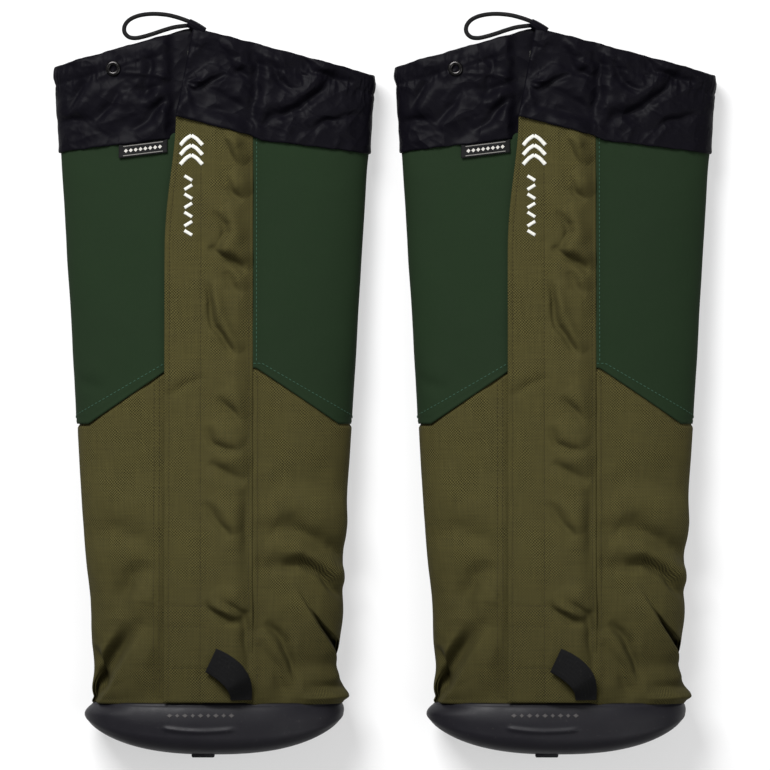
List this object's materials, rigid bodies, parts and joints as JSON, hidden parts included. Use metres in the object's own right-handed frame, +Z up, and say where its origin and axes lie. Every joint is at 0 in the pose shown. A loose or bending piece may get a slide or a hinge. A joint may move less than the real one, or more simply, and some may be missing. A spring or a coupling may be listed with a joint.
{
  "type": "gaiters",
  "caption": "Pair of full-length fabric gaiters with rubber rands, gathered cuffs and a hinged storm flap over a front zip.",
  "frame": {"origin": "on the ground under the middle of the pair, measured without the drawcord loops", "axes": "+Z up from the ground the pair lies on, +Y along the legs towards the cuffs, +X to the right with the storm flaps facing up"},
  "size_m": [0.4518, 0.5082, 0.0703],
  "materials": {
    "green_fabric": "matt coated nylon, plain weave",
    "olive_fabric": "matt textured nylon, coarse weave",
    "cuff": "thin crinkled nylon, slight sheen",
    "hook_and_loop": "matt hook-and-loop tape",
    "zip_tape": "woven tape",
    "zip_teeth": "moulded teeth",
    "zip_metal": "black painted zinc",
    "webbing": "ribbed webbing",
    "label": "woven label",
    "thread": "pale embroidery thread",
    "nickel": "nickel plate",
    "elastic_cord": "braided elastic cord",
    "rubber": "satin moulded rubber"
  },
  "bodies": {
    "left_gaiter": {"left_cuff_left": "cuff", "left_cuff_right": "cuff", "left_cuff_loop_patch": "hook_and_loop", "left_upper_panel_left": "green_fabric", "left_upper_panel_right": "green_fabric", "left_upper_panel_back": "green_fabric", "left_lower_panel_left": "olive_fabric", "left_lower_panel_right": "olive_fabric", "left_lower_panel_back": "olive_fabric", "left_loop_strip": "hook_and_loop", "left_zip_tape_left": "zip_tape", "left_zip_tape_right": "zip_tape", "left_zip_teeth_left": "zip_teeth", "left_zip_teeth_right": "zip_teeth", "left_zip_stop": "zip_metal", "left_side_label": "label", "left_eyelet": "nickel", "left_rand": "rubber", "left_toe_lug": "rubber"},
    "left_flap": {"left_cuff_overlap": "cuff", "left_cuff_hook_patch": "hook_and_loop", "left_storm_flap": "olive_fabric", "left_hook_strip": "hook_and_loop", "left_thread_mark": "thread", "left_drawcord": "elastic_cord"},
    "left_zip_slider": {"left_zip_slider": "zip_metal", "left_zip_puller": "zip_metal"},
    "left_pull_tab": {"left_pull_tab": "webbing"},
    "right_gaiter": {"right_cuff_left": "cuff", "right_cuff_right": "cuff", "right_cuff_loop_patch": "hook_and_loop", "right_upper_panel_left": "green_fabric", "right_upper_panel_right": "green_fabric", "right_upper_panel_back": "green_fabric", "right_lower_panel_left": "olive_fabric", "right_lower_panel_right": "olive_fabric", "right_lower_panel_back": "olive_fabric", "right_loop_strip": "hook_and_loop", "right_zip_tape_left": "zip_tape", "right_zip_tape_right": "zip_tape", "right_zip_teeth_left": "zip_teeth", "right_zip_teeth_right": "zip_teeth", "right_zip_stop": "zip_metal", "right_side_label": "label", "right_eyelet": "nickel", "right_rand": "rubber", "right_toe_lug": "rubber"},
    "right_flap": {"right_cuff_overlap": "cuff", "right_cuff_hook_patch": "hook_and_loop", "right_storm_flap": "olive_fabric", "right_hook_strip": "hook_and_loop", "right_thread_mark": "thread", "right_drawcord": "elastic_cord"},
    "right_zip_slider": {"right_zip_slider": "zip_metal", "right_zip_puller": "zip_metal"},
    "right_pull_tab": {"right_pull_tab": "webbing"}
  },
  "joints": [
    {"name": "left_flap_open", "type": "hinge", "parent": "left_gaiter", "child": "left_flap", "pos_m": [-0.0895, -0.00931, 0.05137], "axis": [0, 0.9982, -0.0599], "range_deg": [0, 110]},
    {"name": "left_zip_slide", "type": "slide", "parent": "left_gaiter", "child": "left_zip_slider", "axis": [0, -0.9982, 0.0599], "range_m": [0, 0.35]},
    {"name": "left_tab_fold", "type": "hinge", "parent": "left_flap", "child": "left_pull_tab", "pos_m": [-0.0965, -0.20631, 0.0654], "axis": [1, 0, 0], "range_deg": [0, 110]},
    {"name": "right_flap_open", "type": "hinge", "parent": "right_gaiter", "child": "right_flap", "pos_m": [0.1435, -0.00931, 0.05137], "axis": [0, 0.9982, -0.0599], "range_deg": [0, 110]},
    {"name": "right_zip_slide", "type": "slide", "parent": "right_gaiter", "child": "right_zip_slider", "axis": [0, -0.9982, 0.0599], "range_m": [0, 0.35]},
    {"name": "right_tab_fold", "type": "hinge", "parent": "right_flap", "child": "right_pull_tab", "pos_m": [0.1365, -0.20631, 0.0654], "axis": [1, 0, 0], "range_deg": [0, 110]},
    {"name": "right_gaiter_lift", "type": "slide", "parent": "left_gaiter", "child": "right_gaiter", "axis": [0, 0, 1], "range_m": [0, 0.3]}
  ]
}
